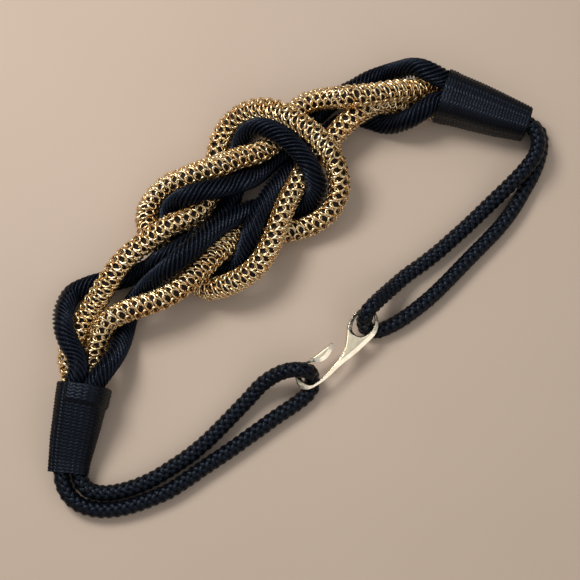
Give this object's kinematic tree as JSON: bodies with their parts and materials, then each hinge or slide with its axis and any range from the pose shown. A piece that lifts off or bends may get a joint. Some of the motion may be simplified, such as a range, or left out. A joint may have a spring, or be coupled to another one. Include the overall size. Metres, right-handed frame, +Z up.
{
  "type": "rope belt",
  "caption": "Knotted waist belt of gold mesh tubes and thick black cords, bound by woven wraps, with thin cord loops joined by a flat cast hook.",
  "frame": {"origin": "on the table under the middle of the belt's bounding box", "axes": "+X along the belt's longest side, towards the right wrap, +Y across the table from the hook towards the knot, +Z up"},
  "size_m": [0.2856, 0.2633, 0.0357],
  "materials": {
    "gold_mesh": "polished wire mesh, warm brown gold",
    "black_cord": "twisted cord with a satin sheen",
    "black_tape": "woven tape with fine ribs",
    "loop_braid": "round braid, matt",
    "pale_gold": "polished pale gold casting"
  },
  "bodies": {
    "root": {"left_gold_chain": "gold_mesh", "left_black_cord": "black_cord", "right_gold_chain": "gold_mesh", "right_black_cord": "black_cord", "left_wrap": "black_tape", "right_wrap": "black_tape", "left_loop_cord": "loop_braid", "right_loop_cord": "loop_braid", "hook": "pale_gold"}
  },
  "joints": []
}
